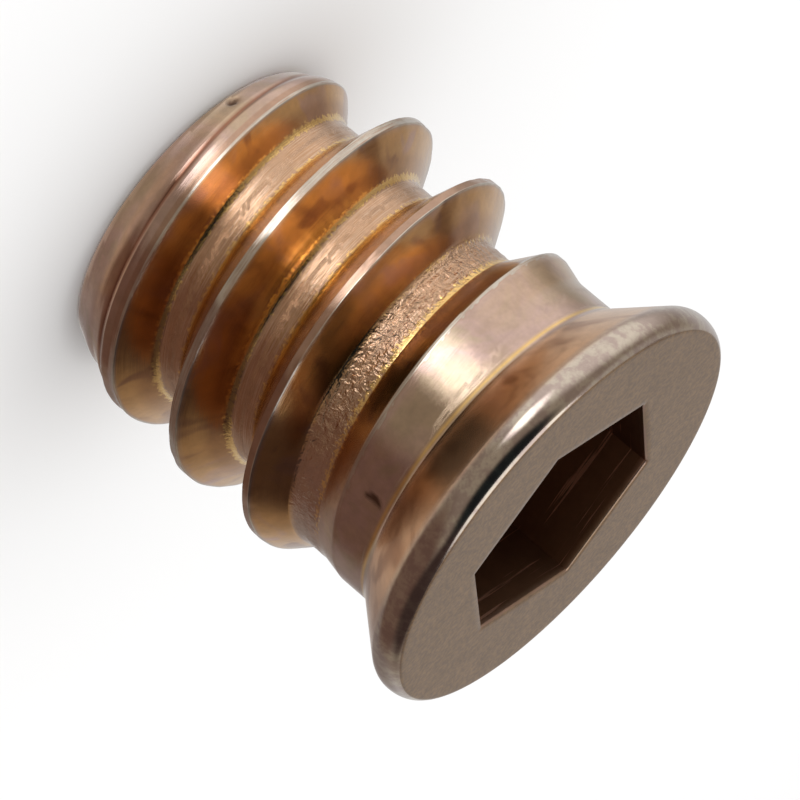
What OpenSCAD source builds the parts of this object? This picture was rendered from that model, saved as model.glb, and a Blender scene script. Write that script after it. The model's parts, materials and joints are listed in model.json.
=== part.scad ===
// Threaded insert for wood, made from one piece of steel. A coarse thread is
// rolled into the outside, a metric thread runs through the bore, and a
// hexagon socket in the flange takes the key that drives it in. It stands on
// its tip with the flange up, and its origin is the centre of the tip face.
// All sizes are in millimetres and all angles in degrees.

/* [Overall] */
// Length from the tip face to the flange face
total_len = 13; // [12:0.1:18]
// Diameter of the plain blank, seen on the collar under the flange
blank_d = 9.7; // [9.3:0.1:10.2]

/* [Flange] */
// Diameter of the rim
flange_d = 12.4; // [11.6:0.1:15]
// Height of the cone that flares from the collar to the rim
flare_h = 1.6; // [0.9:0.1:1.8]
// Height of the rim above the cone
rim_h = 0.75; // [0.7:0.05:1.4]
// Radius that rounds the rim into the cone
rim_back_r = 0.6; // [0.1:0.05:0.7]
// Radius that rounds the rim into the flange face
rim_front_r = 0.2; // [0.05:0.05:0.3]

/* [Drive socket] */
// Size of the hexagon across its flats, for a 6 mm key
socket_af = 6.2; // [6.05:0.05:6.6]
// Depth of the hexagon below the flange face
socket_depth = 4.8; // [4.2:0.1:5.6]
// Width of the flat ledge between the hexagon and the drill cone
ledge_w = 0.1; // [0.05:0.05:0.2]
// Height of the drill cone that leads from the socket to the bore
drill_cone_h = 0.6; // [0.3:0.1:0.9]

/* [Metric thread] */
// Diameter inside the crests of the metric thread, the wall of the bore
bore_d = 5; // [4.6:0.1:5.2]
// Width of the countersink round the bore at the tip
countersink_w = 0.6; // [0.3:0.1:1]
// Depth of the countersink at the tip
countersink_h = 0.6; // [0.3:0.1:0.9]

/* [Tip] */
// How far the taper at the tip goes in from the blank
tip_taper_w = 0.4; // [0.1:0.05:0.6]
// Height of the taper at the tip
tip_taper_h = 0.8; // [0.3:0.05:1]

/* [Wood thread] */
// How far the crest stands above the blank
crest_h = 0.6; // [0.3:0.05:0.9]
// How deep the groove is rolled below the blank
groove_h = 0.7; // [0.2:0.05:0.7]
// Distance from one crest to the next
pitch = 2.6; // [2.4:0.1:2.8]
// Width of the flat on the crest
crest_w = 0.25; // [0.1:0.05:0.4]
// Width of the flat at the root
root_w = 0.9; // [0.8:0.05:1.1]
// Share of the sloping width taken by the flank that faces the tip
tip_share = 0.52; // [0.35:0.01:0.65]
// Rounding at the foot of each flank, as a share of the flank's width
foot = 0.22; // [0.1:0.02:0.24]
// Height at which the line of the crest begins
start_z = 0.7; // [0.5:0.1:1]
// Angle at which the line of the crest begins
start_angle = -166; // [-180:1:180]

/* [Wood thread ends] */
// Turns over which the crest rises out of the blank
crest_rise = 0.8; // [0.3:0.05:0.9]
// Turns from the beginning to the end of the crest
crest_turns = 3.25; // [2:0.05:3.4]
// Turns over which the crest sinks back into the blank
crest_fall = 0.6; // [0.3:0.05:0.8]
// Turns by which the groove begins ahead of the crest
groove_lead = 0.6; // [0:0.05:0.7]
// Turns over which the groove deepens
groove_rise = 0.5; // [0.2:0.05:0.7]
// Turns from the beginning of the crest to the end of the groove
groove_turns = 2.7; // [1.5:0.05:2.8]
// Turns over which the groove runs out into the collar
groove_fall = 0.6; // [0.3:0.05:0.8]

/* [Hidden] */

full_turn = 360;
blank_r = blank_d / 2;
rim_r = flange_d / 2;
rim_z = total_len - rim_h;
flare_z = rim_z - flare_h;
flare_angle = atan2(rim_r - blank_r, flare_h);
bore_r = bore_d / 2;
tip_r = blank_r - tip_taper_w;
socket_z = total_len - socket_depth;
// How far cutters pass the surfaces that they cut
over = 1;
// How far the shank and the head run into each other
lap = 0.4;

// Outline of the thread over one pitch, as shares of the pitch
half_crest = crest_w / 2 / pitch;
slope = 1 - (crest_w + root_w) / pitch;
tip_flank = slope * tip_share;
head_flank = slope - tip_flank;
mid_root = half_crest + tip_flank + root_w / 2 / pitch;
// Rows of points down one flank, as shares of the flank's width
flank_rows = [0, 1 - foot, 1, 1 + foot];
rows = concat(
    [for (i = [len(flank_rows) - 1 : -1 : 0]) -half_crest - flank_rows[i] * tip_flank],
    [for (x = flank_rows) half_crest + x * head_flank]);

// The shank is a net of rows along the thread and columns along the axis
columns = 72;
turns_below = 2;
shank_top = flare_z + lap;
row_count = len(rows) * (turns_below + 1 + ceil(shank_top / pitch));
// Rows closer than this to an end of the shank are merged into that end
merge = 0.04;

// A step from 0 to 1 with soft ends
function ease(t) = let (x = min(max(t, 0), 1)) x * x * (3 - 2 * x);

// Height of the thread between root and crest, x flank widths off the crest
function flank_height(x) =
    let (d = 1 - x) max(d, 0) + (abs(d) < foot ? pow(foot - abs(d), 2) / (4 * foot) : 0);

// How far the crest stands out, a turns along the thread
function crest_share(a) = ease(a / crest_rise) * ease((crest_turns - a) / crest_fall);

// How deep the groove is, a turns along the crest on its tip side
function groove_share(a) =
    ease((a + groove_lead) / groove_rise) * ease((groove_turns - a) / groove_fall);

// Radius of the shank at height z, t turns round from the start angle
function shank_radius(z, t) =
    let (along = (z - start_z) / pitch - t)
    let (k = floor(along + mid_root), u = along - k, a = k + t)
    let (crest = blank_r + crest_h * crest_share(a))
    let (root = blank_r - groove_h * groove_share(u < 0 ? a - 1 : a))
    let (x = u < 0 ? (-u - half_crest) / tip_flank : (u - half_crest) / head_flank)
    root + (crest - root) * min(flank_height(max(x, 0)), 1);

// Height of row n in column c, before the ends of the shank cut it off
function row_z(n, c) =
    start_z + pitch * (floor(n / len(rows)) - turns_below + rows[n % len(rows)] + c / columns);

function ring_point(r, c, z) =
    let (angle = start_angle + full_turn * c / columns) [r * cos(angle), r * sin(angle), z];

module shank() {
    all_rows = [0 : row_count - 1];
    all_columns = [0 : columns - 1];
    // The last row that lies on the lower end, and the first on the upper end
    first = [for (c = all_columns)
        len([for (n = all_rows) if (row_z(n, c) < tip_taper_h + merge) n]) - 1];
    last = [for (c = all_columns)
        row_count - len([for (n = all_rows) if (row_z(n, c) > shank_top - merge) n])];
    // Number of the point in row n of column c; past the last column the
    // thread has climbed a pitch, so the same row is found one pitch higher
    function at(n, c) = c < columns
        ? c * row_count + min(max(n, first[c]), last[c])
        : at(n + len(rows), c - columns);
    net = [for (c = all_columns, n = all_rows)
        let (z = n <= first[c] ? tip_taper_h : n >= last[c] ? shank_top : row_z(n, c))
        ring_point(shank_radius(z, c / columns), c, z)];
    skin = [for (c = all_columns, n = [0 : row_count - 2])
        each [[at(n, c), at(n + 1, c), at(n + 1, c + 1)],
              [at(n, c), at(n + 1, c + 1), at(n, c + 1)]]];
    // The taper, the tip face and the hidden end inside the flange
    tip_ring = [for (c = all_columns) ring_point(tip_r, c, 0)];
    function tip(c) = len(net) + c % columns;
    tip_centre = len(net) + columns;
    top_centre = tip_centre + 1;
    ends = [for (c = all_columns)
        each [[tip(c), at(0, c), at(0, c + 1)],
              [tip(c), at(0, c + 1), tip(c + 1)],
              [tip_centre, tip(c), tip(c + 1)],
              [top_centre, at(row_count, c + 1), at(row_count, c)]]];
    faces = [for (f = concat(skin, ends))
        if (f[0] != f[1] && f[1] != f[2] && f[2] != f[0]) f];
    polyhedron(concat(net, tip_ring, [[0, 0, 0], [0, 0, shank_top]]), faces);
}

// Points of an arc about a centre, from one angle to another
function arc(centre, r, from, to, steps = 6) = [for (i = [0 : steps])
    let (a = from + (to - from) * i / steps) centre + r * [cos(a), sin(a)]];

module head() {
    back_centre = [rim_r - rim_back_r, rim_z + rim_back_r * tan(flare_angle / 2)];
    front_centre = [rim_r - rim_front_r, total_len - rim_front_r];
    // The cone is carried on into the shank, where it ends out of sight
    foot_r = blank_r - lap * tan(flare_angle);
    rotate_extrude($fn = 120)
        polygon(concat(
            [[0, flare_z - lap], [foot_r, flare_z - lap]],
            arc(back_centre, rim_back_r, -flare_angle, 0),
            arc(front_centre, rim_front_r, 0, 90),
            [[0, total_len]]));
}

module drive_socket() {
    translate([0, 0, socket_z])
        rotate(30)
            cylinder(h = socket_depth + over, r = socket_af / sqrt(3), $fn = 6);
}

module bore() {
    // The cutter is carried on past the tip face along the countersink's cone
    mouth_w = countersink_w * (1 + over / countersink_h);
    rotate_extrude($fn = 96)
        polygon([
            [0, -over],
            [bore_r + mouth_w, -over],
            [bore_r, countersink_h],
            [bore_r, socket_z - drill_cone_h],
            [socket_af / 2 - ledge_w, socket_z],
            [0, socket_z]]);
}

module insert() {
    color("peru")
        difference() {
            union() {
                shank();
                head();
            }
            drive_socket();
            bore();
        }
}

insert();
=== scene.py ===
import json
import math

import bmesh
import bpy
import numpy as np
from mathutils import Matrix, Vector, noise


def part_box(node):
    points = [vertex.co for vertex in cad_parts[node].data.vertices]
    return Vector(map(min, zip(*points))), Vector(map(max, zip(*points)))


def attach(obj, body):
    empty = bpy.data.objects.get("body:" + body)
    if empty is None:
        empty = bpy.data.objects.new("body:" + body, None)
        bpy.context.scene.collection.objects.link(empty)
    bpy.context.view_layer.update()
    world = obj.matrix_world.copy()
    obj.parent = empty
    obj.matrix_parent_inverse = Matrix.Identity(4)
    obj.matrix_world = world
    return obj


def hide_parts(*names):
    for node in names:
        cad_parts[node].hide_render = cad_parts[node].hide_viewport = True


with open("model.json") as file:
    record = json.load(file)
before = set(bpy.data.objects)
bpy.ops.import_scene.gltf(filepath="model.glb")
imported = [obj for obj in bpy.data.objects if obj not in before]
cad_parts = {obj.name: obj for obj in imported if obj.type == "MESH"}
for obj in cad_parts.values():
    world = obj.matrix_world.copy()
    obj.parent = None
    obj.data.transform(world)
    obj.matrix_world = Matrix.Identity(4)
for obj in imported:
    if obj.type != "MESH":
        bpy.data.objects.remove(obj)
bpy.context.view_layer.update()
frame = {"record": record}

# Threaded insert for wood, standing on its tip with the flange up.
# Shapes are worked out in millimetres and turned into metres when the mesh is made.
mm = 0.001
fullTurn = 360.0
insertLow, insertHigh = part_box("insert")
totalLength = (insertHigh[2] - insertLow[2]) / mm
rimRadius = (insertHigh[0] - insertLow[0]) / 2 / mm
mounts = {mount["name"]: mount for mount in frame["record"]["mounts"]}
boreMount = mounts["metric_thread"]
boreRadius = boreMount["dims"]["r_mm"]
boreMiddle = boreMount["pos_m"][2] / mm
boreTop = boreMiddle + boreMount["dims"]["length_mm"] / 2
boreLow = boreMiddle - boreMount["dims"]["length_mm"] / 2

insertShape = {
    "columns": 264,            # points round each ring, a multiple of twelve for the hexagon
    "blankRadius": 4.85,
    "collarTop": 10.65,        # height at which the flange starts to flare
    "flareHeight": 1.6,
    "flareFillet": 0.5,
    "rimBackRadius": 0.6,
    "rimFrontWidth": 0.3, "rimFrontHeight": 0.53,     # the edge rolls over toward the face
    "hexFlats": 6.2,
    "hexBevel": 0.06,
    "socketDepth": 4.8,
    "ledge": 0.1,
    "countersinkWidth": 0.6,
    "tipTaperWidth": 0.4,
    "tipTaperHeight": 0.8,
    "tipTaperBlend": 0.08,
    "tipEdge": 0.1,
    "sharpAngle": 38.0,        # an edge that turns more than this is shaded sharp
    "rings": {"tip": 6, "tipEdge": 4, "fillet": 7, "flare": 10, "rimBack": 10, "rimFront": 14,
              "face": 14, "socket": 30, "cone": 4, "countersink": 4},
}

# turns are counted along the crest from where the thread starts near the tip;
# four of them say where something begins, is full, starts to fade and ends
woodThread = {
    "pitch": 2.6,
    "startHeight": 0.7,
    "startAngle": -166.0,
    "crestHeight": 0.6,
    "crestWidth": 0.22,
    "crestTurns": (0.0, 0.8, 2.64, 3.24),
    "seamWidth": 0.2,          # extra width of the crest near the tip, where its two lips lie open
    "seamCloses": (0.55, 1.05),
    "lipsMeet": (0.45, 0.75),
    "headSideWorn": (1.45, 1.75, 2.6, 2.9),           # here only the head's side is worn bright
    "grooveDepth": 0.7,
    "grooveTurns": (-0.6, -0.1, 2.08, 2.68),
    "rootWidth": 0.9,
    "tipShare": 0.52,          # share of the slope on the side that faces the tip
    "foot": 0.16,
    "tipEdgeWidth": 0.13, "headEdgeWidth": 0.08,      # painted gold glints along the two edges of the root
    "rows": {"tipFlank": 12, "crest": 8, "headFlank": 12, "root": 8},
}

boreThread = {
    "pitch": 1.0,
    "depth": 0.45,
    "crestWidth": 0.2,
    "rootWidth": 0.14,
    "foot": 0.1,
    "runOut": 0.9,             # length over which the thread fades at either end
    "rows": 9,
}


def softStep(t):
    t = np.clip(t, 0, 1)
    return t * t * (3 - 2 * t)


# climbs softly from 0 at start to 1 at end, which may be the lower of the two
def climb(value, start, end):
    return softStep((value - start) / (end - start))


def between(value, start, full, fade, end):
    return climb(value, start, full) * climb(value, end, fade)


def softMin(a, b, width):
    h = np.clip(width - np.abs(a - b), 0, None)
    return np.minimum(a, b) - h * h / (4 * width)


# height of a thread between root and crest, x flank widths off the crest
def flankHeight(x, foot):
    d = 1 - x
    blend = np.where(np.abs(d) < foot, (foot - np.abs(d)) ** 2 / (4 * foot), 0)
    return np.clip(np.maximum(d, 0) + blend, 0, 1)


# smooth lumps between -1 and 1 along the thread, so many to a turn and to a millimetre across
def rolledLumps(marks, grain, seed):
    perTurn, perMillimetre = grain
    along = marks["along"]
    points = np.stack([along * perTurn, marks["across"] * perMillimetre, 0 * along], -1)
    offset = np.array([seed * 7.3, seed * -3.1, seed * 5.7])
    values = [noise.noise(Vector(p)) for p in points.reshape(-1, 3) + offset]
    return np.array(values).reshape(along.shape)


# the crest is wider where it starts, and closes up over its first turn
def crestWidthAt(a):
    w = woodThread
    return w["crestWidth"] + w["seamWidth"] * (1 - climb(a, *w["seamCloses"]))


# radius of the shank at height z, turns round from the thread's start, and what lies there
def shankSurface(z, turns):
    s, w = insertShape, woodThread
    taper = s["blankRadius"] - s["tipTaperWidth"] * (1 - z / s["tipTaperHeight"])
    blank = softMin(taper, s["blankRadius"] + 0 * z, s["tipTaperBlend"])
    along = (z - w["startHeight"]) / w["pitch"] - turns
    slope = 1 - (w["crestWidth"] + w["rootWidth"]) / w["pitch"]
    tipFlank = slope * w["tipShare"]
    headFlank = slope - tipFlank
    midRoot = (w["crestWidth"] + w["rootWidth"]) / 2 / w["pitch"] + tipFlank
    nearest = np.floor(along + midRoot)             # the crest that each point belongs to
    u = along - nearest                             # pitches off that crest
    a = nearest + turns                             # turns along it
    aGroove = np.where(u < 0, a - 1, a)
    crestShare = between(a, *w["crestTurns"])
    grooveShare = between(aGroove, *w["grooveTurns"])
    halfCrest = crestWidthAt(a) / 2 / w["pitch"]
    extra = halfCrest - w["crestWidth"] / 2 / w["pitch"]
    flank = np.where(u < 0, tipFlank, headFlank) - extra
    x = (np.abs(u) - halfCrest) / flank             # flank widths off the crest
    offCrest = np.maximum(x, 0)
    crest = blank + w["crestHeight"] * crestShare
    root = blank - w["grooveDepth"] * grooveShare
    radius = root + (crest - root) * flankHeight(offCrest, w["foot"])
    inRoot = (x - 1) * flank * w["pitch"]           # how far into the root, in millimetres
    edgeWidth = np.where(u < 0, w["tipEdgeWidth"], w["headEdgeWidth"])
    crestPlace = np.abs(u) / halfCrest
    headLip = climb(crestPlace, 0.45, 0.75) * (u > 0)
    wholeCrest = climb(a, *w["lipsMeet"]) * (1 - between(a, *w["headSideWorn"]))
    bothSides = np.maximum(crestShare, grooveShare)
    crestFade = 0.08 + 0.1 * softStep(a - 2.4)      # wider where the thread runs out
    onCrest = bothSides * softStep(1 - offCrest / crestFade)
    marks = {
        "crest": onCrest,
        "lip": onCrest * np.maximum(headLip, wholeCrest),
        # painted shade: the foot of each flank, next to the root
        "foot": grooveShare * between(inRoot, -0.42, -0.22, -0.096, 0.024),
        "root": grooveShare * climb(inRoot, -0.05, 0.05),
        "flank": bothSides * climb(inRoot, 0.05, -0.05) * climb(x, 0, 0.1),
        "edge": grooveShare * np.exp(-(inRoot / edgeWidth) ** 2),
        "across": u * w["pitch"],
        "along": a,
    }
    crown = crestShare * climb(offCrest, 0.35, 0)   # how much of the wear a point takes
    return radius, marks, crown, crestPlace


# The skin is rings of points, joined row by row until it closes. Each point has
# marks, which tell the finish what it lies on.
columns = insertShape["columns"]
columnDegrees = np.arange(columns) * fullTurn / columns
columnAngles = np.radians(columnDegrees)
markNames = [
    "across", "along",                                # place on the thread
    "crest", "lip", "flank", "foot", "edge", "root", "flaky", "crease", "nick",
    "corner", "flare", "rim", "face", "socket",
]
skin = {"points": [], "faces": [], "marks": {name: [] for name in markNames}, "count": 0}


# adds points given by angle, radius and height, and returns their numbers
def addPoints(angles, radii, heights, marks):
    radii, heights = np.broadcast_arrays(radii, heights)
    angles = np.broadcast_to(angles, radii.shape)
    points = np.stack([radii * np.cos(angles), radii * np.sin(angles), heights], -1).reshape(-1, 3)
    numbers = skin["count"] + np.arange(len(points)).reshape(radii.shape)
    skin["points"].append(points)
    skin["count"] += len(points)
    for name in markNames:
        values = np.broadcast_to(marks.get(name, 0.0), radii.shape)
        skin["marks"][name].append(values.reshape(-1))
    return numbers


# joins squares of numbers; a square that has lost a side becomes a triangle
def joinSquares(a, b, c, d):
    for square in np.stack([a, b, c, d], -1).reshape(-1, 4).tolist():
        corners = [number for i, number in enumerate(square) if number != square[i - 1]]
        if len(corners) > 2:
            skin["faces"].append(corners)


def joinRows(lower, upper):
    joinSquares(lower, np.roll(lower, -1), np.roll(upper, -1), upper)


def addRing(radii, height, **marks):
    return addPoints(columnAngles, np.broadcast_to(radii, (columns,)), height + 0 * columnAngles, marks)


# a ring for each radius and height, each joined to the row before
def addRings(row, places, **marks):
    for radius, height in places:
        ring = addRing(radius, height, **marks)
        joinRows(row, ring)
        row = ring
    return row


# A net whose rows follow a helix, cut off flat at both ends. fractions are the
# rows of one pitch, and surface gives the radius and marks at a height and turn.
def addHelix(lowZ, highZ, pitch, startZ, startAngle, fractions, surface, inward=False):
    turns = (columnDegrees - startAngle) / fullTurn
    rowsPerTurn = len(fractions)
    firstTurn = int(math.floor((lowZ - startZ) / pitch)) - 4
    lastTurn = int(math.ceil((highZ - startZ) / pitch)) + 2
    rowTurns = np.concatenate([turn + np.array(fractions) for turn in range(firstTurn, lastTurn)])
    heights = startZ + pitch * (rowTurns[:, None] + turns[None, :])
    merge = pitch / rowsPerTurn * 0.4               # a row this close to an end becomes the end
    first = (heights < lowZ + merge).sum(0) - 1
    last = len(rowTurns) - (heights > highZ - merge).sum(0)
    order = np.arange(len(rowTurns))[:, None]
    heights = np.where(order <= first, lowZ, np.where(order >= last, highZ, heights))
    radii, marks = surface(heights, np.broadcast_to(turns, heights.shape))
    numbers = addPoints(columnAngles, radii, heights, marks)
    at = numbers[np.clip(order, first, last), np.arange(columns)]
    rows = np.arange(len(rowTurns) - 1)
    top = len(rowTurns) - 1
    for column in range(columns):
        left, leftUp = at[rows, column], at[rows + 1, column]
        if column + 1 < columns:
            right, rightUp = at[rows, column + 1], at[rows + 1, column + 1]
        else:
            # past the last column the helix has climbed one pitch
            right = at[np.minimum(rows + rowsPerTurn, top), 0]
            rightUp = at[np.minimum(rows + 1 + rowsPerTurn, top), 0]
        if inward:
            joinSquares(leftUp, rightUp, right, left)
        else:
            joinSquares(left, right, rightUp, leftUp)
    return at[0], at[-1]


def arcPoints(centre, radius, start, end, steps):
    angles = np.radians(np.linspace(start, end, steps + 1))
    return [(centre[0] + radius * math.cos(a), centre[1] + radius * math.sin(a)) for a in angles]


# points between two ends, without the first
def spread(start, end, steps):
    return [tuple(np.array(start) + (np.array(end) - start) * i / steps) for i in range(1, steps + 1)]


# rows of the wood thread over one pitch, as many on each part as its dictionary says
def woodFractions():
    w = woodThread
    slope = 1 - (w["crestWidth"] + w["rootWidth"]) / w["pitch"]
    crest = (w["crestWidth"] + w["seamWidth"]) / w["pitch"]
    extra = (crest - w["crestWidth"] / w["pitch"]) / 2
    lengths = {
        "tipFlank": slope * w["tipShare"] - extra,
        "crest": crest,
        "headFlank": slope * (1 - w["tipShare"]) - extra,
        "root": w["rootWidth"] / w["pitch"],
    }
    edge = -crest / 2 - lengths["tipFlank"]
    fractions = []
    for name, length in lengths.items():
        steps = w["rows"][name]
        fractions += [edge + length * i / steps for i in range(steps)]
        edge += length
    return fractions


# what rolling and handling left on the outside; a grain is lumps to a turn and to a millimetre
outsideMarks = {
    "seamDepth": 0.05,         # trough between the two lips of the crest
    "crestWear": 0.03, "wearGrain": (34, 3),          # how far the worn crest wanders
    "crestDent": 0.01, "dentGrain": (60, 5),
    "creaseTurns": (-0.62, -0.47, 0.55, 0.8),         # beside the first land
    "creaseAt": -0.36, "creaseWidth": 0.07, "creaseDepth": 0.05,
    "rootWrinkle": 0.035,      # folds that rolling left along the root
    "foldGrain": (16, 6.5), "flakeGrain": (42, 9),
    "flakyTurns": (1.85, 2.1, 2.55, 2.8),             # here the folds are deep and flake
    "nickAngle": -40.0, "nickHeight": 10.15,
    "nickLength": 0.85, "nickWidth": 0.26, "nickDepth": 0.07,
    "chipAngle": -109.0, "chipHeight": 0.3, "chipSize": 0.22, "chipDepth": 0.12,
}


# millimetres round the blank from one angle
def arcFrom(turns, degrees):
    angle = turns * fullTurn + woodThread["startAngle"]
    away = (angle - degrees + fullTurn / 2) % fullTurn - fullTurn / 2
    return np.radians(away) * insertShape["blankRadius"]


def wornShank(z, turns):
    m, w = outsideMarks, woodThread
    r, marks, crown, crestPlace = shankSurface(z, turns)
    a, across = marks["along"], marks["across"]
    seamOpen = (crestWidthAt(a) - w["crestWidth"]) / w["seamWidth"]
    r = r - m["seamDepth"] * crown * seamOpen * climb(crestPlace, 0.75, 0)
    creaseShape = np.exp(-((across - m["creaseAt"]) / m["creaseWidth"]) ** 2)
    marks["crease"] = between(a, *m["creaseTurns"]) * creaseShape
    r = r - m["creaseDepth"] * marks["crease"]
    # wear along the crest
    ragged = np.abs(rolledLumps(marks, m["wearGrain"], 1))
    dents = climb(rolledLumps(marks, m["dentGrain"], 2), 0.15, 0.45)
    r = r - crown * (m["crestWear"] * ragged + m["crestDent"] * dents)
    # folds along the root, which flake over its last turn
    grooveTurn = np.where(across < 0, a - 1, a)
    flaky = between(grooveTurn, *m["flakyTurns"])
    folds = rolledLumps(marks, m["foldGrain"], 3)
    flakes = np.abs(rolledLumps(marks, m["flakeGrain"], 4))
    rough = marks["root"] * (0.25 + 0.75 * flaky)
    r = r + m["rootWrinkle"] * rough * (folds + flakes * flaky - 0.2)
    marks["flaky"] = marks["root"] * flaky
    marks["edge"] = marks["edge"] * (1 - 0.7 * flaky * (across > 0))
    # nick on the collar and chip at the tip
    nickRound = arcFrom(turns, m["nickAngle"]) / (m["nickWidth"] / 2)
    nickUp = (z - m["nickHeight"]) / (m["nickLength"] / 2)
    nick = softStep(1 - np.hypot(nickRound, nickUp))
    chipRound = arcFrom(turns, m["chipAngle"])
    chip = softStep(1 - np.hypot(chipRound, z - m["chipHeight"]) / m["chipSize"])
    r = r - m["nickDepth"] * nick - m["chipDepth"] * chip
    marks["nick"] = np.maximum(climb(nick, 0, 0.4), climb(chip, 0, 0.6))
    return r, marks


# radius and height from the collar over the flare and the rim to the face
def flangeProfile():
    s, rings = insertShape, insertShape["rings"]
    blank, rimZ = s["blankRadius"], s["collarTop"] + s["flareHeight"]
    flareAngle = math.degrees(math.atan2(rimRadius - blank, s["flareHeight"]))
    half = math.tan(math.radians(flareAngle / 2))
    fillet, back = s["flareFillet"], s["rimBackRadius"]
    wide, tall = s["rimFrontWidth"], s["rimFrontHeight"]
    filletCentre = (blank + fillet, s["collarTop"] - fillet * half)
    backCentre = (rimRadius - back, rimZ + back * half)
    points = arcPoints(filletCentre, fillet, 180, 180 - flareAngle, rings["fillet"])
    backArc = arcPoints(backCentre, back, -flareAngle, 0, rings["rimBack"])
    points += spread(points[-1], backArc[0], rings["flare"])
    points += backArc[1:]
    quarter = arcPoints((0, 0), 1, 0, 90, rings["rimFront"])
    points += [(rimRadius - wide + wide * x, totalLength - tall + tall * z) for x, z in quarter]
    return points


# distance from the axis to the hexagon's side at each column, corners on the Y axis
def hexRadius(flats):
    turned = (columnDegrees - 30) % 60 - 30
    return flats / 2 / np.cos(np.radians(turned))


def buildOutside():
    s, w, rings = insertShape, woodThread, insertShape["rings"]
    edge, collarTop = s["tipEdge"], s["collarTop"]
    rimZ = collarTop + s["flareHeight"]
    tipRadius = s["blankRadius"] - s["tipTaperWidth"]
    boreMouth = boreRadius + s["countersinkWidth"]
    tipMouth = addRing(boreMouth, 0.0)
    places = spread((boreMouth, 0), (tipRadius - edge, 0), rings["tip"])
    places += arcPoints((tipRadius - edge, edge), edge, -90, -20, rings["tipEdge"])[1:]
    tipRow = addRings(tipMouth, places)
    flareTurn = math.atan((rimRadius - s["blankRadius"]) / s["flareHeight"])
    netTop = collarTop - s["flareFillet"] * math.tan(flareTurn / 2)
    low, row = addHelix(edge, netTop, w["pitch"], w["startHeight"], w["startAngle"],
                        woodFractions(), wornShank)
    joinRows(tipRow, low)
    for r, z in flangeProfile()[1:]:
        flareShare = float(climb(z, collarTop + 0.1, collarTop + 0.25))
        rimShare = float(climb(z, rimZ - 0.3, rimZ + 0.05))
        corner = math.exp(-((z - collarTop + 0.03) / 0.06) ** 2)      # line where the flare starts, painted as a gold highlight
        row = addRings(row, [(r, z)], corner=corner, flare=flareShare * (1 - rimShare),
                       rim=rimShare, face=float(z > totalLength - 0.02))
    # the face runs in to the hexagon
    outer = rimRadius - s["rimFrontWidth"]
    hexMouth = hexRadius(s["hexFlats"] + 2 * s["hexBevel"])
    shares = [i / rings["face"] for i in range(1, rings["face"] + 1)]
    row = addRings(row, [(outer + (hexMouth - outer) * share, totalLength) for share in shares], face=1.0)
    return tipMouth, row


def threadedBore(z, turns):
    b = boreThread
    along = (z - boreMiddle) / b["pitch"] - turns
    u = along - np.round(along)
    halfCrest = b["crestWidth"] / 2 / b["pitch"]
    flank = 0.5 - halfCrest - b["rootWidth"] / 2 / b["pitch"]
    offCrest = np.maximum((np.abs(u) - halfCrest) / flank, 0)
    share = between(z, boreLow, boreLow + b["runOut"], boreTop - b["runOut"], boreTop)
    radius = boreRadius + b["depth"] * share * (1 - flankHeight(offCrest, b["foot"]))
    return radius, {"across": u * b["pitch"], "along": along}


# hexagon socket, drill cone, metric thread and countersink
def buildInside(row, tipMouth):
    s, b, rings = insertShape, boreThread, insertShape["rings"]
    floorZ = totalLength - s["socketDepth"]
    bevel = s["hexBevel"]
    for share in (0.35, 0.75, 1.0):                 # three steps round the hexagon's edge over
        flats = s["hexFlats"] + 2 * bevel * (1 - share) ** 2
        row = addRings(row, [(hexRadius(flats), totalLength - bevel * share)], socket=0.5)
    wall = hexRadius(s["hexFlats"])
    top = totalLength - bevel
    shares = [i / rings["socket"] for i in range(1, rings["socket"] + 1)]
    row = addRings(row, [(wall, top + (floorZ - top) * share) for share in shares], socket=1.0)
    coneTop = (s["hexFlats"] / 2 - s["ledge"], floorZ)
    cone = [coneTop] + spread(coneTop, (boreRadius, boreTop), rings["cone"])[:-1]
    row = addRings(row, cone, socket=1.0)
    fractions = [i / b["rows"] - 0.5 for i in range(b["rows"])]
    low, high = addHelix(boreLow, boreTop, b["pitch"], boreMiddle, 0.0,
                         fractions, threadedBore, inward=True)
    joinRows(row, high)
    boreMouth = (boreRadius + s["countersinkWidth"], 0)
    row = addRings(low, spread((boreRadius, boreLow), boreMouth, rings["countersink"])[:-1])
    joinRows(row, tipMouth)


def makeInsert():
    tipMouth, hexMouth = buildOutside()
    buildInside(hexMouth, tipMouth)
    points = np.concatenate(skin["points"]) * mm
    mesh = bpy.data.meshes.new("insertBody")
    mesh.from_pydata(points.tolist(), [], skin["faces"])
    for name in markNames:
        values = np.concatenate(skin["marks"][name]).astype(np.float32)
        mesh.attributes.new(name, "FLOAT", "POINT").data.foreach_set("value", values)
    body = bpy.data.objects.new("insertBody", mesh)
    bpy.context.collection.objects.link(body)
    # the nets keep spare points at their cut ends, which go here
    used = np.zeros(len(points), bool)
    used[[number for face in skin["faces"] for number in face]] = True
    work = bmesh.new()
    work.from_mesh(mesh)
    work.verts.ensure_lookup_table()
    bmesh.ops.delete(work, geom=[v for v in work.verts if not used[v.index]], context="VERTS")
    work.to_mesh(mesh)
    work.free()
    mesh.shade_smooth()
    mesh.set_sharp_from_angle(angle=math.radians(insertShape["sharpAngle"]))
    triangles = sum(len(polygon.vertices) - 2 for polygon in mesh.polygons)
    print("insert mesh:", triangles, "triangles")
    return body


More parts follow.
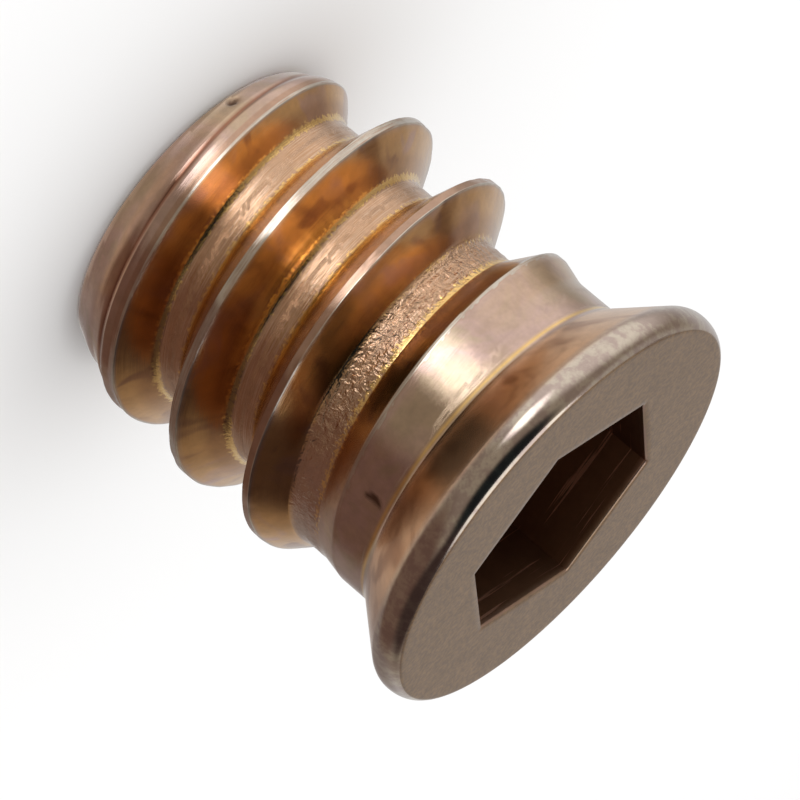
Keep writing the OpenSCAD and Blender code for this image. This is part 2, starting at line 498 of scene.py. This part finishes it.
# yellow passivation over bright zinc; scales are lumps to a metre, or to a unit of place on the thread
passivation = {
    "filmColours": [(0.57, 0.44, 0.32), (0.61, 0.45, 0.36), (0.63, 0.46, 0.41), (0.56, 0.45, 0.33)],
    "filmStops": [0.36, 0.46, 0.56, 0.68],
    "rootColour": (0.60, 0.36, 0.21), "rootPink": (0.73, 0.51, 0.37),
    # painted glints and a painted highlight: gold specks along the root's edges and a gold line where the
    # flare starts
    "goldColour": (0.95, 0.64, 0.26),
    "flankColour": (0.70, 0.40, 0.16), "flankDark": (0.40, 0.20, 0.10), "flankPink": (0.60, 0.36, 0.25),
    # the share at the foot darkens the foot of each flank: painted shade
    "flankCover": 0.92, "footCover": 0.55,
    "flareColour": (0.88, 0.57, 0.36), "flareDark": (0.50, 0.27, 0.15),
    "rimColour": (0.64, 0.57, 0.49), "rimPurple": (0.55, 0.45, 0.41),
    "crestColour": (0.67, 0.62, 0.55), "crestFilm": (0.52, 0.34, 0.25),
    "faceColour": (0.44, 0.30, 0.18), "faceGrain": (0.32, 0.225, 0.16),
    "socketColour": (0.32, 0.18, 0.11), "scoreColour": (0.80, 0.50, 0.38),
    "nickColour": (0.16, 0.09, 0.06), "creaseColour": (0.30, 0.12, 0.07),
    "filmScale": 480.0, "patchScale": 520.0, "mottleScale": 1800.0,
    "flakeScale": 5600.0, "speckScale": 7000.0,
    "scoreScale": (260.0, 260.0, 9000.0),             # fine in height, so it draws rings
    "threadStretch": (3.0, 9.0),                      # along and across
    "streakScale": 6.0, "wearScale": 9.0,
    "shadeLow": 0.89, "shadeRange": 0.22,
    "roughness": 0.16, "streakRoughness": 0.14,
    "extraRoughness": {"face": 0.26, "socket": 0.29, "nick": 0.25, "flare": 0.04},
    "speckHeight": {"edge": 1.2, "root": 0.5, "face": 0.6}, "speckHeightAll": 0.03,
    "rollingHeight": {"root": 0.4}, "rollingHeightAll": 0.25,
    "flakeHeight": {"flaky": 11.0}, "flakeHeightAll": 0.0,
    "bumpStrength": 0.5, "bumpDepth": 0.02,           # depth in millimetres
    "coatWeight": 0.3, "coatRoughness": 0.06,
}


# a node tree that is written as one expression after another
class Nodes:
    def __init__(self, tree):
        self.tree = tree
        tree.nodes.clear()

    # links a socket, or sets a number, a vector or a colour of three parts
    def feed(self, value, socket):
        if isinstance(value, bpy.types.NodeSocket):
            self.tree.links.new(value, socket)
        elif socket.type == "RGBA":
            socket.default_value = (*value, 1.0)
        else:
            socket.default_value = value

    def add(self, kind, inputs=None, **settings):
        node = self.tree.nodes.new("ShaderNode" + kind)
        for name, value in settings.items():
            setattr(node, name, value)
        for name, value in (inputs or {}).items():
            self.feed(value, node.inputs[name])
        return node

    def maths(self, operation, a, b):
        return self.add("Math", {0: a, 1: b}, operation=operation).outputs[0]

    def plus(self, a, b):
        return self.maths("ADD", a, b)

    def times(self, a, b):
        return self.maths("MULTIPLY", a, b)

    def mark(self, name):
        return self.add("Attribute", attribute_name=name).outputs["Fac"]

    # adds to a start value each mark times its own number
    def markSum(self, start, numbers):
        for name, number in numbers.items():
            start = self.plus(start, self.times(self.mark(name), number))
        return start

    # sockets 6 and 7 are the two colours of a mix, and output 2 is its colour
    def blend(self, share, a, b, kind="MIX"):
        node = self.add("Mix", {0: share, 6: a, 7: b}, data_type="RGBA", blend_type=kind)
        return node.outputs[2]

    def step(self, value, low, high):
        return self.add("MapRange", {"Value": value, "From Min": low, "From Max": high},
                        interpolation_type="SMOOTHSTEP").outputs[0]

    def lumps(self, vector, scale, detail=2.0, rough=0.5, distortion=0.0):
        return self.add("TexNoise", {"Vector": vector, "Scale": scale, "Detail": detail,
                                     "Roughness": rough, "Distortion": distortion}).outputs[0]


# the patterns that colour, gloss and bumps share
def makeGrain(n):
    p = passivation
    place = n.add("TexCoord").outputs["Object"]
    alongStretch, acrossStretch = p["threadStretch"]
    onThread = {"X": n.times(n.mark("along"), alongStretch), "Y": n.times(n.mark("across"), acrossStretch)}
    rolled = n.add("CombineXYZ", onThread).outputs[0]
    scored = n.add("VectorMath", {0: place, 1: p["scoreScale"]}, operation="MULTIPLY").outputs[0]
    return {
        "film": n.lumps(place, p["filmScale"], 3.0, 0.55, 0.6),
        "patches": n.lumps(place, p["patchScale"], 2.0, 0.5, 1.0),
        "mottle": n.lumps(place, p["mottleScale"], 3.0, 0.7),
        "speck": n.lumps(place, p["speckScale"], 2.0, 0.7),
        "flakes": n.lumps(place, p["flakeScale"], 2.0, 0.6, 0.4),
        "streaks": n.lumps(rolled, p["streakScale"], 3.0, 0.6),
        "wear": n.lumps(rolled, p["wearScale"], 2.0, 0.6),
        "scores": n.lumps(scored, 1.0, 2.0, 0.5),
    }


def shankColour(n, grain):
    p = passivation
    ramp = n.add("ValToRGB", {"Fac": grain["film"]})
    stops = ramp.color_ramp.elements
    while len(stops) < len(p["filmStops"]):
        stops.new(0.5)
    for stop, position, colour in zip(stops, p["filmStops"], p["filmColours"]):
        stop.position = position
        stop.color = (*colour, 1.0)
    # roots run from brown to pink, with gold specks along both edges as painted glints
    rootFilm = n.blend(n.step(grain["streaks"], 0.42, 0.62), p["rootColour"], p["rootPink"])
    colour = n.blend(n.mark("root"), ramp.outputs["Color"], rootFilm)
    flankFilm = n.blend(n.step(grain["patches"], 0.52, 0.66), p["flankColour"], p["flankPink"])
    flankFilm = n.blend(n.step(grain["patches"], 0.40, 0.30), flankFilm, p["flankDark"])
    colour = n.blend(n.times(n.mark("flank"), p["flankCover"]), colour, flankFilm)
    # painted shade: the foot of each flank, next to the root, is darkened toward flankDark
    colour = n.blend(n.times(n.mark("foot"), p["footCover"]), colour, p["flankDark"])
    # painted glints: gold specks along both edges of the root
    edge = n.mark("edge")
    goldGlints = n.step(n.plus(n.times(edge, 0.4), grain["speck"]), 0.6, 0.8)
    colour = n.blend(n.times(goldGlints, n.step(edge, 0.0, 0.3)), colour, p["goldColour"])
    return n.blend(n.mark("crease"), colour, p["creaseColour"])


def flangeColour(n, grain, colour):
    p = passivation
    flareFilm = n.blend(n.step(grain["patches"], 0.50, 0.32), p["flareColour"], p["flareDark"])
    colour = n.blend(n.mark("flare"), colour, flareFilm)
    # painted highlight: a gold line along the corner where the flare starts
    colour = n.blend(n.mark("corner"), colour, p["goldColour"])
    rimFilm = n.blend(n.step(grain["mottle"], 0.42, 0.6), p["rimPurple"], p["rimColour"])
    colour = n.blend(n.mark("rim"), colour, rimFilm)
    faceFilm = n.blend(n.step(grain["speck"], 0.35, 0.65), p["faceColour"], p["faceGrain"])
    colour = n.blend(n.mark("face"), colour, faceFilm)
    # rings that the punch scored round the socket
    socketFilm = n.blend(n.step(grain["scores"], 0.62, 0.68), p["socketColour"], p["scoreColour"])
    return n.blend(n.mark("socket"), colour, socketFilm)


def wornColour(n, grain, colour):
    p = passivation
    colour = n.blend(n.mark("crest"), colour, p["crestFilm"])
    worn = n.times(n.step(n.mark("lip"), 0.3, 0.8), n.step(grain["wear"], 0.38, 0.50))
    colour = n.blend(worn, colour, p["crestColour"])
    shade = n.plus(n.times(n.step(grain["mottle"], 0.2, 0.8), p["shadeRange"]), p["shadeLow"])
    grey = n.add("CombineColor", {"Red": shade, "Green": shade, "Blue": shade}).outputs[0]
    colour = n.blend(1.0, colour, grey, kind="MULTIPLY")
    return n.blend(n.mark("nick"), colour, p["nickColour"])


# fine bumps: specks, streaks from rolling, and flakes where the root is flaky
def filmBump(n, grain):
    p = passivation
    fine = n.times(grain["speck"], n.markSum(p["speckHeightAll"], p["speckHeight"]))
    rolling = n.times(grain["streaks"], n.markSum(p["rollingHeightAll"], p["rollingHeight"]))
    flakes = n.times(grain["flakes"], n.markSum(p["flakeHeightAll"], p["flakeHeight"]))
    height = n.plus(n.plus(fine, rolling), flakes)
    return n.add("Bump", {"Strength": p["bumpStrength"], "Distance": p["bumpDepth"] * mm,
                          "Height": height}).outputs[0]


def makePassivation():
    p = passivation
    material = bpy.data.materials.new("yellowPassivation")
    material.use_nodes = True
    n = Nodes(material.node_tree)
    grain = makeGrain(n)
    colour = shankColour(n, grain)
    colour = flangeColour(n, grain, colour)
    colour = wornColour(n, grain, colour)
    streaks = n.times(grain["streaks"], p["streakRoughness"])
    roughness = n.plus(streaks, p["roughness"] - p["streakRoughness"] / 2)
    shader = n.add("BsdfPrincipled", {
        "Base Color": colour,
        "Metallic": 1.0,
        "Roughness": n.markSum(roughness, p["extraRoughness"]),
        "Normal": filmBump(n, grain),
        "Coat Weight": p["coatWeight"],
        "Coat Roughness": p["coatRoughness"],
    })
    n.add("OutputMaterial", {"Surface": shader.outputs[0]})
    print("finish:", len(material.node_tree.nodes), "nodes")
    return material


studio = {
    "viewAzimuth": 16.07, "viewElevation": 18.9, "viewRoll": -130.2,
    "viewDistance": 154.4,     # from the middle of the insert
    "frameWidth": 20.6,        # width seen at the middle of the insert
    "aimRight": 0.574, "aimUp": -1.015,
    "sensorWidth": 36.0,
    "clip": (0.01, 10.0),      # lengths from here on are in metres
    "floorSize": 1.0,
    "floorShades": ((0.86, 0.86, 0.86), (0.9, 0.9, 0.9)),
    "floorRoughness": 0.7,
    "floorGap": 0.00002,       # just clear of the tip face
    "lampSize": 0.25, "lampPower": 0.15, "lampHeight": 0.3,
    "glowBase": (0.32, 0.27, 0.22),
    "floorGlow": (1.1, 1.1, 1.1),                     # what falls on the floor from all round
    "background": (1.0, 1.0, 1.0),
}


def viewAxes():
    s = studio
    a, e = math.radians(s["viewAzimuth"]), math.radians(s["viewElevation"])
    back = Vector((math.sin(a) * math.cos(e), -math.cos(a) * math.cos(e), math.sin(e)))
    flatRight = Vector((math.cos(a), math.sin(a), 0))
    flatUp = back.cross(flatRight)
    roll = math.radians(s["viewRoll"])
    # the roll lays the insert over, so that its flange points down to the right
    up = flatUp * math.cos(roll) + flatRight * math.sin(roll)
    right = flatRight * math.cos(roll) - flatUp * math.sin(roll)
    return right, up, back


def makeCamera():
    s = studio
    right, up, back = viewAxes()
    middle = Vector((0, 0, totalLength / 2 * mm))
    place = middle + back * s["viewDistance"] * mm
    target = middle + (right * s["aimRight"] + up * s["aimUp"]) * mm
    away = (place - target).normalized()
    side = up.cross(away).normalized()
    camera = bpy.data.cameras.new("camera")
    camera.sensor_width = s["sensorWidth"]
    camera.lens = s["sensorWidth"] * s["viewDistance"] / s["frameWidth"]
    camera.clip_start, camera.clip_end = s["clip"]
    holder = bpy.data.objects.new("camera", camera)
    bpy.context.collection.objects.link(holder)
    turn = Matrix((side, away.cross(side), away)).transposed()
    holder.matrix_world = Matrix.Translation(place) @ turn.to_4x4()
    bpy.context.scene.camera = holder


def makeFloor():
    s = studio
    size = s["floorSize"]
    mesh = bpy.data.meshes.new("floor")
    corners = [(-size, -size, 0), (size, -size, 0), (size, size, 0), (-size, size, 0)]
    mesh.from_pydata(corners, [], [(0, 1, 2, 3)])
    floor = bpy.data.objects.new("floor", mesh)
    floor.location.z = -s["floorGap"]
    floor.visible_glossy = False      # the metal mirrors the studio instead of its own floor
    bpy.context.collection.objects.link(floor)
    material = bpy.data.materials.new("floorPaint")
    material.use_nodes = True
    n = Nodes(material.node_tree)
    cloudy = n.lumps(n.add("TexCoord").outputs["Object"], 8.0)
    colour = n.blend(cloudy, *s["floorShades"])
    shader = n.add("BsdfPrincipled", {"Base Color": colour, "Roughness": s["floorRoughness"]})
    n.add("OutputMaterial", {"Surface": shader.outputs[0]})
    mesh.materials.append(material)


# Soft patches of light and shade round the insert, a later one over an earlier one.
# name: (right, up, back as the camera sees them), degrees to where it fades and ends, colour
glow = {
    "backdrop": ((0.0, 0.0, -1.0), 20, 58, (0.62, 0.61, 0.60)),
    "leftBack": ((-0.5, -0.3, -0.8), 12, 32, (0.27, 0.23, 0.21)),
    "upper": ((0.1, 0.98, 0.05), 25, 58, (0.95, 0.90, 0.84)),
    "under": ((-0.7, 0.45, -0.55), 14, 40, (0.48, 0.40, 0.33)),
    "left": ((-0.86, -0.46, 0.08), 34, 52, (0.17, 0.11, 0.085)),
    "right": ((0.94, -0.2, -0.15), 15, 40, (0.44, 0.40, 0.36)),
    "below": ((0.0, -0.98, 0.18), 26, 45, (0.06, 0.04, 0.035)),
    "doorway": ((0.88, -0.19, -0.43), 5, 8, (0.13, 0.09, 0.08)),
    "key": ((-0.2, 0.70, 0.69), 7, 18, (2.6, 2.55, 2.5)),
    "cameraShade": ((0.3, -0.32, 0.9), 24, 40, (0.012, 0.016, 0.018)),
}


def makeLights():
    s = studio
    right, up, back = viewAxes()
    world = bpy.data.worlds.new("studio")
    bpy.context.scene.world = world
    world.use_nodes = True
    n = Nodes(world.node_tree)
    place = n.add("TexCoord").outputs["Generated"]
    colour = s["glowBase"]
    for (r, u, b), inner, outer, patch in glow.values():
        direction = tuple((right * r + up * u + back * b).normalized())
        toward = n.add("VectorMath", {0: place, 1: direction}, operation="DOT_PRODUCT").outputs["Value"]
        share = n.step(toward, math.cos(math.radians(outer)), math.cos(math.radians(inner)))
        colour = n.blend(share, colour, patch)
    path = n.add("LightPath").outputs
    colour = n.blend(path["Is Diffuse Ray"], colour, s["floorGlow"])
    colour = n.blend(path["Is Camera Ray"], colour, s["background"])
    background = n.add("Background", {"Color": colour, "Strength": 1.0})
    n.add("OutputWorld", {"Surface": background.outputs[0]})
    lamp = bpy.data.lights.new("topLight", "AREA")
    lamp.shape = "DISK"
    lamp.size = s["lampSize"]
    lamp.energy = s["lampPower"]
    holder = bpy.data.objects.new("topLight", lamp)
    holder.location = (0.0, 0.0, s["lampHeight"])
    bpy.context.collection.objects.link(holder)


print("making the insert")
insertBody = makeInsert()
insertBody.data.materials.append(makePassivation())
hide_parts("insert")
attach(insertBody, "root")

print("setting up the studio")
makeCamera()
makeFloor()
makeLights()
bpy.context.scene.view_settings.view_transform = "Standard"
